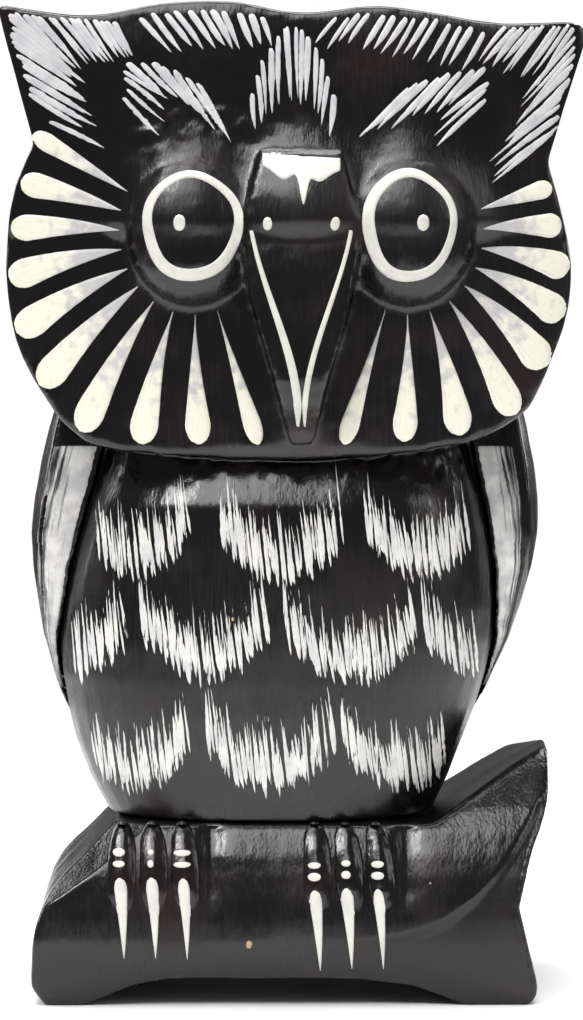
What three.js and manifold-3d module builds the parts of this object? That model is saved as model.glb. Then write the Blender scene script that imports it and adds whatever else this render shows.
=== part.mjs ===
// A carved and painted wooden owl standing on a log, in millimetres.
// The owl faces -Y and +Z is up. Left and right are as seen from the front.
import * as THREE from "three";
import { mergeVertices } from "three/addons/utils/BufferGeometryUtils.js";
import Module from "manifold-3d";

const wasm = await Module();
wasm.setup();

const glueGap = 0.3; // free space left for glue wherever two pieces meet

// Log: two feet, an arch between them and a raised end on the right
const logWidth = 104;
const logDepth = 66;
const logTop = 36; // height of the flat that the body stands on
const logTipHeight = 50.5; // height of the raised end
const archHeight = 5.5;

// Body
const bodyHeight = 73; // from the log's flat to the lowest point of the head
const bodyWidth = 89.5;
const bodyDepth = 59;
const bodyShift = -2.5; // the body's middle from the head's middle
const bodySquareness = 2.6; // 2 is an ellipse, more is a squarer slice

// Wings
const shoulderThickness = 11; // how far a wing stands out of the body at the top
const wingTipThickness = 1.2; // also how far it stands out at the back
const wingLength = 72;
const wingFrontEdge = -12; // Y of a wing's front edge at its widest
const wingBackEdge = 24;

// Head
const headWidth = 116.4;
const headHeight = 91;
const headDepth = 58;

// Eyes: tilted domes, each on a peg
const faceShift = 2; // the face's middle from the head's middle
const eyeSpacing = 43;
const eyeRise = 46; // the eyes' centres above the lowest point of the head
const eyeWidth = 25;
const eyeHeight = 29;
const eyeBulge = 7.5;
const eyeTilt = 8; // degrees, so that the lower rim stands proud and the upper one sinks in
const eyeSeat = 3; // depth of the pocket that an eye sits in
const eyeSink = 0.6; // how far the middle of an eye's rim lies behind the frontmost line of the head
const eyePegRadius = 3;
const eyePegLength = 9;

// Beak: a wedge in a pocket, on a peg
const beakWidth = 22;
const beakLength = 57;
const beakRise = 4; // the beak's point above the lowest point of the head
const beakBulge = 9.5;
const beakSeat = 3;
const beakPegRadius = 3;
const beakPegLength = 8;
const beakPegRise = 31; // above the beak's point

// Feet: three toes each, glued on the log
const feetShift = -8; // the middle between the feet from the head's middle
const feetSpacing = 39;
const toeSpacing = 6.3;
const toeWidth = 5.6;
const toeLength = 20;
const toeThickness = 2.8;
const toeRise = 1.6; // how far a toe reaches above the log's flat
const toeFan = 2; // degrees between neighbouring toes
const footLean = { left: 2, right: 5 }; // degrees, positive towards the right at the bottom

// Dowels
const jointDowelRadius = 4;
const jointDowelLength = 30;
const neckDowelSpacing = 30;
const logDowelSpacing = 34;
const wingDowelRadius = 2;
const wingDowelLength = 11;
const wingDowelDrops = { upper: 16, lower: 36 }; // below a wing's top
const wingDowelY = 2;
const wingDowelReach = 0.6; // how far into the wing's thickness its dowels go
const dowelSpareDepth = 1; // how much deeper than its dowel a hole is

const neckZ = logTop + bodyHeight; // the lowest point of the head
const wingOverlap = 9; // how far the wings' blanks reach up there
const headOverlap = 12; // how far the body's blank reaches up behind the lowest point of the head
const headTop = neckZ + headHeight;
const degree = Math.PI / 180;
const pegSides = 16;
const eyeSides = 28;
const bodySides = 36;
const bodySlices = 12;
const toeSides = 12;
const toeRings = 10;
const planSpare = 1.02; // the head's plan outline goes on a little beyond its sides
const sides = { left: -1, right: 1 };

// ---- Helpers

const vectors = (points) => points.map(([x, y]) => new THREE.Vector2(x, y));

// A smooth function of one number through the given [input, output] pairs.
function smooth(pairs) {
  const curve = new THREE.CubicInterpolant(
    pairs.map(([input]) => input),
    pairs.map(([, output]) => output),
    1,
  );
  return (input) => curve.evaluate(input)[0];
}

// A closed outline of smooth stretches that meet at corners. Each stretch starts where the last one ended.
function outline(stretches) {
  const shape = new THREE.Shape();
  shape.moveTo(...stretches[0][0]);
  stretches.forEach((stretch, i) => {
    const points = i === 0 ? stretch.slice(1) : stretch;
    if (points.length === 1) shape.lineTo(...points[0]);
    else shape.splineThru(vectors(points));
  });
  return shape;
}

function extrude(shape, depth, curveSegments) {
  return new THREE.ExtrudeGeometry(shape, { depth, curveSegments, bevelEnabled: false });
}

// Extrusions centred on the origin. The shape's x and y become X and Z, Y and Z, or X and Y.
const alongY = (shape, depth, steps = 2) =>
  extrude(shape, depth, steps).rotateX(Math.PI / 2).translate(0, depth / 2, 0);

const sideways = new THREE.Matrix4().makeBasis(
  new THREE.Vector3(0, 1, 0),
  new THREE.Vector3(0, 0, 1),
  new THREE.Vector3(1, 0, 0),
);
const alongX = (shape, depth, steps = 2) =>
  extrude(shape, depth, steps).applyMatrix4(sideways).translate(-depth / 2, 0, 0);

const alongZ = (shape, depth, steps = 2) => extrude(shape, depth, steps);

function solidOf(geometry) {
  const bare = geometry.index ? geometry.toNonIndexed() : geometry.clone();
  bare.deleteAttribute("normal");
  bare.deleteAttribute("uv");
  const merged = mergeVertices(bare, 1e-3);
  return new wasm.Manifold(
    new wasm.Mesh({
      numProp: 3,
      vertProperties: merged.attributes.position.array,
      triVerts: new Uint32Array(merged.index.array),
    }),
  );
}

function geometryOf(solid) {
  const mesh = solid.getMesh();
  const geometry = new THREE.BufferGeometry();
  geometry.setAttribute("position", new THREE.BufferAttribute(mesh.vertProperties, 3));
  geometry.setIndex(new THREE.BufferAttribute(mesh.triVerts, 1));
  return geometry;
}

// The geometry scaled about its middle until each side has moved out by the given amount.
function grown(geometry, by) {
  const bigger = geometry.clone();
  bigger.computeBoundingBox();
  const middle = bigger.boundingBox.getCenter(new THREE.Vector3());
  const size = bigger.boundingBox.getSize(new THREE.Vector3());
  bigger.translate(-middle.x, -middle.y, -middle.z);
  bigger.scale(1 + (2 * by) / size.x, 1 + (2 * by) / size.y, 1 + (2 * by) / size.z);
  return bigger.translate(middle.x, middle.y, middle.z);
}

const grownSolid = (solid, by) => solidOf(grown(geometryOf(solid), by));

// A named mesh whose geometry is counted from its own reference point.
function piece(name, solid, colour, roughness, at = new THREE.Vector3()) {
  const material = new THREE.MeshStandardMaterial({ color: colour, roughness, metalness: 0 });
  const geometry = geometryOf(solid).translate(-at.x, -at.y, -at.z);
  geometry.computeVertexNormals();
  const mesh = new THREE.Mesh(geometry, material);
  mesh.name = name;
  mesh.position.copy(at);
  return mesh;
}

const blackPaint = 0x141316;
const dowelWood = 0xc9a66b;
const paintRoughness = 0.35;
const woodRoughness = 0.8;

// ---- Log

// Half of the log's depth at a height, the same in front and behind.
const logTopShare = 1.02; // the side outline goes on a little above the raised end
const logHalfDepth = smooth(
  [[0, 0.94], [0.2, 1], [0.4, 0.98], [0.55, 0.91], [0.7, 0.79], [0.85, 0.61], [logTopShare, 0.4]].map(
    ([height, share]) => [height * logTipHeight, (share * logDepth) / 2],
  ),
);

function logFront() {
  const x = (share) => (share * logWidth) / 2;
  const tip = (share) => share * logTipHeight;
  return outline([
    [[x(-0.95), 0], [x(-0.79), 0]],
    [[x(-0.54), 0.92 * archHeight], [x(-0.2), archHeight], [x(0.38), 0.9 * archHeight], [x(0.66), 0]],
    [[x(0.92), 0]],
    [[x(0.95), tip(0.06)], [x(0.92), tip(0.2)], [x(0.875), tip(0.39)]],
    [[x(0.92), tip(0.57)], [x(0.985), tip(0.76)], [x(0.995), tip(0.9)], [x(0.965), tip(1)]],
    [[x(0.88), tip(0.94)], [x(0.73), tip(0.84)], [x(0.62), tip(0.76)], [x(0.54), tip(0.71)]],
    [[x(-0.68), logTop]],
    [[x(-0.8), 0.82 * logTop], [x(-0.93), 0.62 * logTop], [x(-0.99), 0.4 * logTop], [x(-1), 0.1 * logTop]],
    [[x(-0.95), 0]],
  ]);
}

function logSide() {
  const steps = 12;
  const front = [];
  for (let i = 0; i <= steps; i++) {
    const z = (i / steps) * logTopShare * logTipHeight;
    front.push([-logHalfDepth(z), z]);
  }
  const back = front.map(([y, z]) => [-y, z]).reverse();
  return new THREE.Shape(vectors([...front, ...back]));
}

const logBlank = solidOf(alongY(logFront(), 2 * logDepth)).intersect(
  solidOf(alongX(logSide(), 2 * logWidth)),
);

// ---- Body and wings

// A stack of rounded slices from bottom to top. sliceAt gives each slice's middle and half sizes.
function loft(bottom, top, sliceAt) {
  const geometry = new THREE.CylinderGeometry(1, 1, 1, bodySides, bodySlices).rotateX(Math.PI / 2);
  const position = geometry.attributes.position;
  const rounded = (share) => Math.sign(share) * Math.abs(share) ** (2 / bodySquareness);
  for (let i = 0; i < position.count; i++) {
    const t = position.getZ(i) + 0.5;
    const slice = sliceAt(t);
    position.setXYZ(
      i,
      slice.x + slice.halfWidth * rounded(position.getX(i)),
      slice.halfDepth * rounded(position.getY(i)),
      bottom + t * (top - bottom),
    );
  }
  return geometry;
}

const bodyBottom = logTop + glueGap;
const bodyBlankTop = neckZ + headOverlap; // the head's cut takes the spare height away
const bodyWidthShare = smooth([
  [0, 0.74], [0.08, 0.82], [0.18, 0.89], [0.3, 0.955], [0.45, 1],
  [0.6, 0.98], [0.76, 0.92], [0.88, 0.86], [1, 0.8],
]);
const bodyDepthShare = smooth([[0, 0.86], [0.2, 0.96], [0.45, 1], [0.7, 0.97], [0.88, 0.88], [1, 0.8]]);
const bodyLean = smooth([[0, 1.7], [0.15, 1.8], [0.3, 1.5], [0.55, 0.8], [0.75, 0.4], [1, 0.2]]);
const bodyMiddle = (t) => bodyShift * bodyLean(t); // X of the slice's middle
const bodyHalfWidth = (t) => (bodyWidthShare(t) * bodyWidth) / 2;
const bodyShareAt = (z) => (z - bodyBottom) / (bodyBlankTop - bodyBottom);

function bodyBlank(extraWidth = () => 0, extraDepth = 0) {
  const sliceAt = (t) => ({
    x: bodyMiddle(t),
    halfWidth: bodyHalfWidth(t) + extraWidth(t),
    halfDepth: (bodyDepthShare(t) * bodyDepth) / 2 + extraDepth,
  });
  return loft(bodyBottom, bodyBlankTop, sliceAt);
}

const wingTop = neckZ + wingOverlap;
const wingThicknessShare = smooth([
  [0, 0], [0.28, 0], [0.42, 0.2], [0.52, 0.4], [0.64, 0.73], [0.76, 0.91], [0.88, 1], [1, 1],
]);
const wingThickness = (t) =>
  wingTipThickness + wingThicknessShare(t) * (shoulderThickness - wingTipThickness);

function wingSide() {
  const middle = (wingFrontEdge + wingBackEdge) / 2;
  const half = (wingBackEdge - wingFrontEdge) / 2;
  const y = (share) => middle + share * half;
  const z = (share) => wingTop - share * wingLength;
  return outline([
    [[y(-0.85), z(0)], [y(-1), z(0.2)], [y(-1), z(0.4)], [y(-0.9), z(0.58)], [y(-0.5), z(0.76)],
      [y(0.1), z(0.89)], [y(0.75), z(1)]],
    [[y(0.98), z(0.9)], [y(1), z(0.6)], [y(0.9), z(0.25)], [y(0.6), z(0)]],
    [[y(-0.85), z(0)]],
  ]);
}

const wingShell = solidOf(bodyBlank(wingThickness, wingTipThickness)).subtract(
  solidOf(bodyBlank(() => glueGap, glueGap)),
);

// side is -1 for the left wing and 1 for the right one
function wingBlank(side) {
  const reach = bodyWidth;
  const clip = alongX(wingSide(), reach).translate((side * reach) / 2 + bodyShift, 0, 0);
  return wingShell.intersect(solidOf(clip));
}

// ---- Head

function headFront() {
  const p = (x, z) => [(x * headWidth) / 2, neckZ + z * headHeight];
  return outline([
    [p(-1, 0.993), p(-0.86, 0.98), p(-0.72, 0.969), p(-0.58, 0.979), p(-0.42, 0.998), p(-0.2, 1),
      p(-0.02, 0.979), p(0.1, 0.977), p(0.26, 0.99), p(0.45, 0.98), p(0.7, 0.953), p(0.94, 0.955)],
    [p(0.99, 0.947), p(1, 0.91), p(0.95, 0.81), p(0.876, 0.653)],
    [p(0.92, 0.55), p(0.957, 0.44), p(0.95, 0.33), p(0.89, 0.213), p(0.814, 0.114)],
    [p(0.71, 0.066), p(0.51, 0.027), p(0.03, 0), p(-0.4, 0.011), p(-0.68, 0.035), p(-0.811, 0.103)],
    [p(-0.905, 0.2), p(-0.958, 0.3), p(-0.978, 0.43), p(-0.95, 0.58), p(-0.876, 0.691)],
    [p(-0.93, 0.82), p(-0.97, 0.91), p(-1, 0.993)],
  ]);
}

function headPlan() {
  const p = (x, y) => [(x * headWidth * planSpare) / 2, y * headDepth];
  return outline([
    [p(-1, -0.33), p(-0.93, -0.42), p(-0.5, -0.485), p(0, -0.5), p(0.5, -0.485), p(0.93, -0.42),
      p(1, -0.33)],
    [p(1, 0.08)],
    [p(0.93, 0.28), p(0.72, 0.42), p(0.36, 0.485), p(-0.36, 0.485), p(-0.72, 0.42), p(-0.93, 0.28),
      p(-1, 0.08)],
    [p(-1, -0.33)],
  ]);
}

function headSide() {
  const p = (y, z) => [y * headDepth, neckZ + z * headHeight];
  return outline([
    [p(-0.45, -0.01), p(-0.5, 0.04), p(-0.51, 0.3), p(-0.505, 0.6), p(-0.48, 0.85), p(-0.44, 0.97),
      p(-0.38, 1.01)],
    [p(0.12, 1.01)],
    [p(0.3, 0.97), p(0.42, 0.85), p(0.5, 0.5), p(0.46, 0.2), p(0.36, 0.04), p(0.3, -0.01)],
    [p(-0.45, -0.01)],
  ]);
}

const headBlank = solidOf(alongY(headFront(), 2 * headDepth))
  .intersect(solidOf(alongZ(headPlan(), 2 * headTop)))
  .intersect(solidOf(alongX(headSide(), 2 * headWidth)));
const faceY = -headDepth / 2; // the frontmost line of the head

// ---- Face

// A dome with a low rim, on a round peg. It bulges towards -Y, and its rim reaches back by the seat.
function eyeForm(grow) {
  const rim = eyeWidth / 2 + grow;
  const dome = vectors([[0, -eyeSeat - grow], [rim, -eyeSeat - grow]]);
  const rings = 6;
  for (let i = 0; i < rings; i++) {
    const angle = (i / rings) * 90 * degree;
    dome.push(new THREE.Vector2(rim * Math.cos(angle), (eyeBulge + grow) * Math.sin(angle)));
  }
  dome.push(new THREE.Vector2(0, eyeBulge + grow));
  const tall = (eyeHeight + 2 * grow) / (eyeWidth + 2 * grow);
  const form = new THREE.LatheGeometry(dome, eyeSides).rotateX(Math.PI).scale(1, 1, tall);
  const reach = eyePegLength + (grow > 0 ? dowelSpareDepth : 0);
  const peg = new THREE.CylinderGeometry(eyePegRadius + grow, eyePegRadius + grow, reach, pegSides);
  peg.translate(0, reach / 2 + eyeSeat, 0);
  return { form, peg };
}

function eyeMatrix(side) {
  const x = faceShift + (side * eyeSpacing) / 2;
  const place = new THREE.Vector3(x, faceY + eyeSink, neckZ + eyeRise);
  const turn = new THREE.Quaternion().setFromEuler(new THREE.Euler(-eyeTilt * degree, 0, 0));
  return new THREE.Matrix4().compose(place, turn, new THREE.Vector3(1, 1, 1));
}

function eyeSolid(side, grow = 0) {
  const { form, peg } = eyeForm(grow);
  const matrix = eyeMatrix(side);
  return solidOf(form.applyMatrix4(matrix)).add(solidOf(peg.applyMatrix4(matrix)));
}

const beakPointZ = neckZ + beakRise;

function beakSolid(grow = 0) {
  const low = beakPointZ - grow;
  const tall = beakLength + 2 * grow;
  const p = (x, z) => [faceShift + x * (beakWidth / 2 + grow), low + z * tall];
  const front = outline([
    [p(-0.2, 0), p(0.2, 0)],
    [p(0.42, 0.2), p(0.8, 0.45), p(1, 0.67), p(0.95, 0.8), p(0.7, 1)],
    [p(-0.7, 1)],
    [p(-0.95, 0.8), p(-1, 0.67), p(-0.8, 0.45), p(-0.42, 0.2), p(-0.2, 0)],
  ]);
  const back = faceY + beakSeat + grow;
  const s = (y, z) => [faceY - grow - y * beakBulge, low + z * tall];
  const side = outline([
    [[back, s(0, -0.01)[1]], s(0.35, -0.01)],
    [s(0.75, 0.1), s(1, 0.28), s(0.92, 0.5), s(0.62, 0.75), s(0.2, 1.01)],
    [[back, s(0, 1.01)[1]]],
    [[back, s(0, -0.01)[1]]],
  ]);
  const wedge = solidOf(alongY(front, 2 * headDepth)).intersect(solidOf(alongX(side, headWidth)));
  const start = back - beakSeat / 2; // inside the wedge, so that the peg joins it
  const reach = back - start + beakPegLength + (grow > 0 ? dowelSpareDepth : 0);
  const peg = new THREE.CylinderGeometry(beakPegRadius + grow, beakPegRadius + grow, reach, pegSides);
  peg.translate(faceShift, start + reach / 2, beakPointZ + beakPegRise);
  return wedge.add(solidOf(peg));
}

// ---- Dowels

const alongAxis = {
  x: (geometry) => geometry.rotateZ(Math.PI / 2),
  z: (geometry) => geometry.rotateX(Math.PI / 2),
};

// A round dowel centred at a point, or, grown, the hole that it goes in.
function dowelSolid({ radius, length, axis, at }, grow = 0) {
  const reach = length + (grow > 0 ? 2 * dowelSpareDepth : 0);
  const rod = alongAxis[axis](new THREE.CylinderGeometry(radius + grow, radius + grow, reach, pegSides));
  return solidOf(rod.translate(at.x, at.y, at.z));
}

const dowels = {};
for (const [name, side] of Object.entries(sides)) {
  dowels[`neck_dowel_${name}`] = {
    radius: jointDowelRadius,
    length: jointDowelLength,
    axis: "z",
    at: new THREE.Vector3(bodyMiddle(1) + (side * neckDowelSpacing) / 2, 0, neckZ),
  };
  dowels[`log_dowel_${name}`] = {
    radius: jointDowelRadius,
    length: jointDowelLength,
    axis: "z",
    at: new THREE.Vector3(bodyMiddle(0) + (side * logDowelSpacing) / 2, 0, logTop),
  };
  for (const [row, drop] of Object.entries(wingDowelDrops)) {
    const z = wingTop - drop;
    const t = bodyShareAt(z);
    const outerEnd = bodyHalfWidth(t) + wingDowelReach * wingThickness(t);
    dowels[`${name}_wing_${row}_dowel`] = {
      radius: wingDowelRadius,
      length: wingDowelLength,
      axis: "x",
      at: new THREE.Vector3(bodyMiddle(t) + side * (outerEnd - wingDowelLength / 2), wingDowelY, z),
    };
  }
}

// ---- Toes

// A long rounded ridge that follows the slope of the log's front, before the log is cut out of it.
function toeBlank(x, lean) {
  const middleZ = logTop + toeRise - toeLength / 2;
  const low = middleZ - toeLength / 4;
  const high = middleZ + toeLength / 4;
  const slope = (logHalfDepth(low) - logHalfDepth(high)) / (high - low);
  const toe = new THREE.SphereGeometry(1, toeSides, toeRings).rotateX(Math.PI / 2);
  toe.scale(toeWidth / 2, toeThickness, toeLength / 2);
  toe.rotateX(-Math.atan(slope));
  toe.rotateY(-lean * degree);
  return solidOf(toe.translate(x, -logHalfDepth(middleZ), middleZ));
}

// ---- Assembly: each piece is cut by what it holds and by what it rests on

const body = solidOf(bodyBlank()).subtract(grownSolid(headBlank, glueGap));
const bodyCutter = solidOf(bodyBlank(() => glueGap, glueGap));
const wings = {};
const eyes = {};
const beak = beakSolid();
const beakCutter = beakSolid(glueGap);
let head = headBlank.subtract(beakCutter);
let log = logBlank.subtract(grownSolid(body, glueGap));
for (const [name, side] of Object.entries(sides)) {
  head = head.subtract(eyeSolid(side, glueGap));
  eyes[name] = eyeSolid(side).subtract(beakCutter);
  wings[name] = wingBlank(side).subtract(grownSolid(headBlank, glueGap));
  log = log.subtract(grownSolid(wings[name], glueGap));
}

let drilledBody = body;
for (const [name, dowel] of Object.entries(dowels)) {
  const hole = dowelSolid(dowel, glueGap);
  drilledBody = drilledBody.subtract(hole);
  if (name.startsWith("neck")) head = head.subtract(hole);
  if (name.startsWith("log")) log = log.subtract(hole);
  for (const side of Object.keys(wings)) {
    if (name.startsWith(side)) wings[side] = wings[side].subtract(hole);
  }
}

const owl = new THREE.Group();
const painted = (name, solid, at) => owl.add(piece(name, solid, blackPaint, paintRoughness, at));

painted("log", log, new THREE.Vector3(0, 0, 0));
painted("body", drilledBody, new THREE.Vector3(bodyShift, 0, bodyBottom));
painted("head", head, new THREE.Vector3(0, 0, neckZ));
painted("beak", beak, new THREE.Vector3(faceShift, faceY, beakPointZ));
for (const [name, side] of Object.entries(sides)) {
  const middle = new THREE.Vector3().setFromMatrixPosition(eyeMatrix(side));
  painted(`${name}_eye`, eyes[name], middle);
  painted(`${name}_wing`, wings[name], new THREE.Vector3(bodyShift + (side * bodyWidth) / 2, 0, wingTop));
}

const logCutter = grownSolid(log, glueGap);
for (const [footName, side] of Object.entries(sides)) {
  const footX = feetShift + (side * feetSpacing) / 2;
  for (const [toeName, step] of Object.entries({ left: -1, middle: 0, right: 1 })) {
    const x = footX + step * toeSpacing;
    const lean = footLean[footName] + step * toeFan;
    const toe = toeBlank(x, lean).subtract(logCutter).subtract(bodyCutter);
    painted(`${footName}_foot_${toeName}_toe`, toe, new THREE.Vector3(x, -logHalfDepth(logTop), logTop));
  }
}

for (const [name, dowel] of Object.entries(dowels)) {
  owl.add(piece(name, dowelSolid(dowel), dowelWood, woodRoughness, dowel.at));
}

// The origin is on the floor, in the middle of the owl's width and depth.
const box = new THREE.Box3().setFromObject(owl);
const middle = box.getCenter(new THREE.Vector3());
owl.position.set(-middle.x, -middle.y, -box.min.z);

const part = new THREE.Group();
part.add(owl);
export default part;
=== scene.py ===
import math
import random

import bmesh
import bpy
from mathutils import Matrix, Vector, noise
from mathutils.bvhtree import BVHTree


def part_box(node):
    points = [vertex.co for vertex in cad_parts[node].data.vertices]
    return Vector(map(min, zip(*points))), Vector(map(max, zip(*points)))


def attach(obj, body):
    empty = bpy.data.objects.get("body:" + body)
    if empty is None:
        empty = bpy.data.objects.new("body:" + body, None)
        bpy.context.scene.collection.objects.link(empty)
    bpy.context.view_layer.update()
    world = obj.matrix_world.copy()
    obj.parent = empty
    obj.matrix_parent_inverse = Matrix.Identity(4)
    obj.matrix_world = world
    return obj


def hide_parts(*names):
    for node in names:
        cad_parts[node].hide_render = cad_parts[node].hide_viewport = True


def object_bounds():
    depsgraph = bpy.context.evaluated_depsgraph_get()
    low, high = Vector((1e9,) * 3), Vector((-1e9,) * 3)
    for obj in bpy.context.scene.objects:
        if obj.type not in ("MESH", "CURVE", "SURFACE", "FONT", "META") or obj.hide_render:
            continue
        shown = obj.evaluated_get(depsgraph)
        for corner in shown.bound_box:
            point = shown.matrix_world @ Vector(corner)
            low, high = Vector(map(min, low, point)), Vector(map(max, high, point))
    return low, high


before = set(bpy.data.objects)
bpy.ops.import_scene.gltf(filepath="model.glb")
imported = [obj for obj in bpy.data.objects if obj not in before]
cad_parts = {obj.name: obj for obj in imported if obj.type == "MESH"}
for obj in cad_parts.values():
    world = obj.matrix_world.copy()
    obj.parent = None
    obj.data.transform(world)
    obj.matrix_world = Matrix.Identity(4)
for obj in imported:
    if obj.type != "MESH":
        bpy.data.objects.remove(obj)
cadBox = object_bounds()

# A carved wooden owl on a log, painted black and white.
# Sizes are in millimetres unless a note says otherwise; the model itself is in metres.
mm = 0.001
sides = {"left": -1, "right": 1}
collection = bpy.context.scene.collection
towardsBack = Vector((0, 1, 0))
rayStart = cadBox[0].y - 0.05  # metres: in front of everything, where a look at the front starts
samePlace = 0.01 * mm  # hits closer than this are the same place


# small helpers

def middleOf(node):
    low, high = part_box(node)
    return (low + high) / 2 / mm


def blend(low, high, value):
    share = min(max((value - low) / (high - low), 0), 1)
    return share * share * (3 - 2 * share)


def hump(distance, reach):
    return math.exp(-((distance / reach) ** 2))


def ripple(point, size):
    # smooth noise from about -1 to 1, with lumps of the given size in millimetres
    return noise.noise(point / (size * mm))


# materials

def addNode(tree, kind, inputs=None, **settings):
    made = tree.nodes.new(kind)
    for name, value in settings.items():
        setattr(made, name, value)
    for name, value in (inputs or {}).items():
        if isinstance(value, bpy.types.NodeSocket):
            tree.links.new(value, made.inputs[name])
        else:
            made.inputs[name].default_value = value
    return made


def newMaterial(name, **sockets):
    material = bpy.data.materials.new(name)
    material.use_nodes = True
    shader = material.node_tree.nodes["Principled BSDF"]
    for socket, value in sockets.items():
        shader.inputs[socket].default_value = value
    return material, material.node_tree, shader


def noiseAt(tree, vector, size, detail=3, stretch=(1, 1, 1)):
    # noise with lumps of the given size, made longer along an axis by a small stretch number
    mapped = addNode(tree, "ShaderNodeMapping", {"Vector": vector, "Scale": stretch})
    inputs = {"Vector": mapped.outputs["Vector"], "Scale": 1 / (size * mm), "Detail": detail}
    return addNode(tree, "ShaderNodeTexNoise", inputs).outputs["Fac"]


def ranged(tree, value, low, high, toLow=0.0, toHigh=1.0):
    inputs = {"Value": value, "From Min": low, "From Max": high, "To Min": toLow, "To Max": toHigh}
    return addNode(tree, "ShaderNodeMapRange", inputs, interpolation_type="SMOOTHSTEP").outputs["Result"]


def mixed(tree, factor, first, second):
    inputs = {0: factor, 6: first, 7: second}
    return addNode(tree, "ShaderNodeMix", inputs, data_type="RGBA").outputs[2]


def reckoned(tree, operation, first, second):
    return addNode(tree, "ShaderNodeMath", {0: first, 1: second}, operation=operation).outputs[0]


lacquerLook = {
    "black": (0.0045, 0.004, 0.0045, 1),
    "maroon": (0.011, 0.0045, 0.005, 1),
    "dust": (0.35, 0.34, 0.33, 1),
    "gloss": 0.16,  # roughness of the shiny places
    "satin": 0.36,  # roughness of the dull places
    "grainSize": 0.55,
    "grainDepth": 0.45,  # strength of the bump
    "brushSize": 3.2,
    "brushDepth": 0.5,
}


def blackLacquer():
    look = lacquerLook
    material, tree, shader = newMaterial("black_lacquer")
    place = addNode(tree, "ShaderNodeTexCoord").outputs["Object"]
    satin = addNode(tree, "ShaderNodeAttribute", attribute_name="satin").outputs["Fac"]
    grain = noiseAt(tree, place, look["grainSize"], 4, (1, 1, 0.045))
    brush = noiseAt(tree, place, look["brushSize"], 4, (1, 1, 0.35))
    patches = noiseAt(tree, place, 16, 3)
    dull = reckoned(tree, "ADD", satin, ranged(tree, patches, 0.35, 0.7, -0.25, 0.25))
    streaky = reckoned(tree, "ADD", dull, ranged(tree, grain, 0.3, 0.7, -0.12, 0.2))
    tree.links.new(ranged(tree, streaky, 0, 1, look["gloss"], look["satin"]), shader.inputs["Roughness"])
    warm = mixed(tree, ranged(tree, patches, 0.5, 0.75), look["black"], look["maroon"])
    spots = addNode(tree, "ShaderNodeTexVoronoi", {"Vector": place, "Scale": 1 / (7 * mm)})
    speck = ranged(tree, spots.outputs["Distance"], 0.02, 0.035, 1, 0)
    seldom = ranged(tree, noiseAt(tree, place, 9, 0), 0.6, 0.64)
    dusty = mixed(tree, reckoned(tree, "MULTIPLY", speck, seldom), warm, look["dust"])
    tree.links.new(dusty, shader.inputs["Base Color"])
    inputs = {"Height": brush, "Strength": look["brushDepth"], "Distance": 0.3 * mm}
    uneven = addNode(tree, "ShaderNodeBump", inputs).outputs[0]
    inputs = {"Height": grain, "Strength": look["grainDepth"], "Distance": 0.12 * mm, "Normal": uneven}
    tree.links.new(addNode(tree, "ShaderNodeBump", inputs).outputs[0], shader.inputs["Normal"])
    return material


def bareWood():
    material, tree, shader = newMaterial("bare_dowel_wood")
    place = addNode(tree, "ShaderNodeTexCoord").outputs["Object"]
    grain = noiseAt(tree, place, 0.8, 4, (1, 1, 0.06))
    colour = mixed(tree, ranged(tree, grain, 0.35, 0.65), (0.58, 0.40, 0.20, 1), (0.38, 0.23, 0.10, 1))
    tree.links.new(colour, shader.inputs["Base Color"])
    tree.links.new(ranged(tree, grain, 0.2, 0.8, 0.62, 0.8), shader.inputs["Roughness"])
    bump = addNode(tree, "ShaderNodeBump", {"Height": grain, "Strength": 0.3, "Distance": 0.1 * mm})
    tree.links.new(bump.outputs[0], shader.inputs["Normal"])
    return material


def brushedPaint(name, look):
    # paint whose strokes run along U; a dry brush leaves the black showing in streaks
    material, tree, shader = newMaterial(name)
    place = addNode(tree, "ShaderNodeTexCoord").outputs["Object"]
    way = addNode(tree, "ShaderNodeUVMap", uv_map="stroke").outputs["UV"]
    split = addNode(tree, "ShaderNodeSeparateXYZ", {"Vector": way})
    along, across = split.outputs["X"], split.outputs["Y"]
    cloud = noiseAt(tree, place, look["cloudSize"], 4)
    bristles = noiseAt(tree, way, 1000 / look["bristles"], 4, (look["streakShortness"], 1, 1))
    runOut = reckoned(tree, "ADD", cloud, ranged(tree, along, 0, 1, -look["runOut"], look["runOut"]))
    body = mixed(tree, ranged(tree, runOut, 0.36, 0.66), look["thick"], look["thin"])
    fine = reckoned(tree, "MULTIPLY", ranged(tree, bristles, 0.5, 0.78), look["streaks"])
    colour = mixed(tree, fine, body, look["streak"])
    if look["dry"]:
        hairs = noiseAt(tree, place, look["hairSize"], 3, (1, 0.02, 0.06))
        top = ranged(tree, along, 0, 0.45, look["dryTop"], 0)
        bottom = ranged(tree, along, 0.7, 1, 0, look["dryBottom"])
        limit = reckoned(tree, "SUBTRACT", look["dry"], reckoned(tree, "ADD", top, bottom))
        gap = ranged(tree, reckoned(tree, "SUBTRACT", hairs, limit), 0.0, 0.04)
        colour = mixed(tree, gap, colour, lacquerLook["black"])
    if look["fade"]:
        edge = reckoned(tree, "ADD", across, ranged(tree, bristles, 0.25, 0.75, -0.35, 0.35))
        colour = mixed(tree, ranged(tree, edge, *look["fade"]), colour, lacquerLook["black"])
    tree.links.new(colour, shader.inputs["Base Color"])
    rough = ranged(tree, cloud, 0.3, 0.7, look["rough"] - 0.08, look["rough"] + 0.1)
    tree.links.new(rough, shader.inputs["Roughness"])
    bump = addNode(tree, "ShaderNodeBump", {"Height": bristles, "Strength": 0.35, "Distance": 0.12 * mm})
    tree.links.new(bump.outputs[0], shader.inputs["Normal"])
    return material


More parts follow.
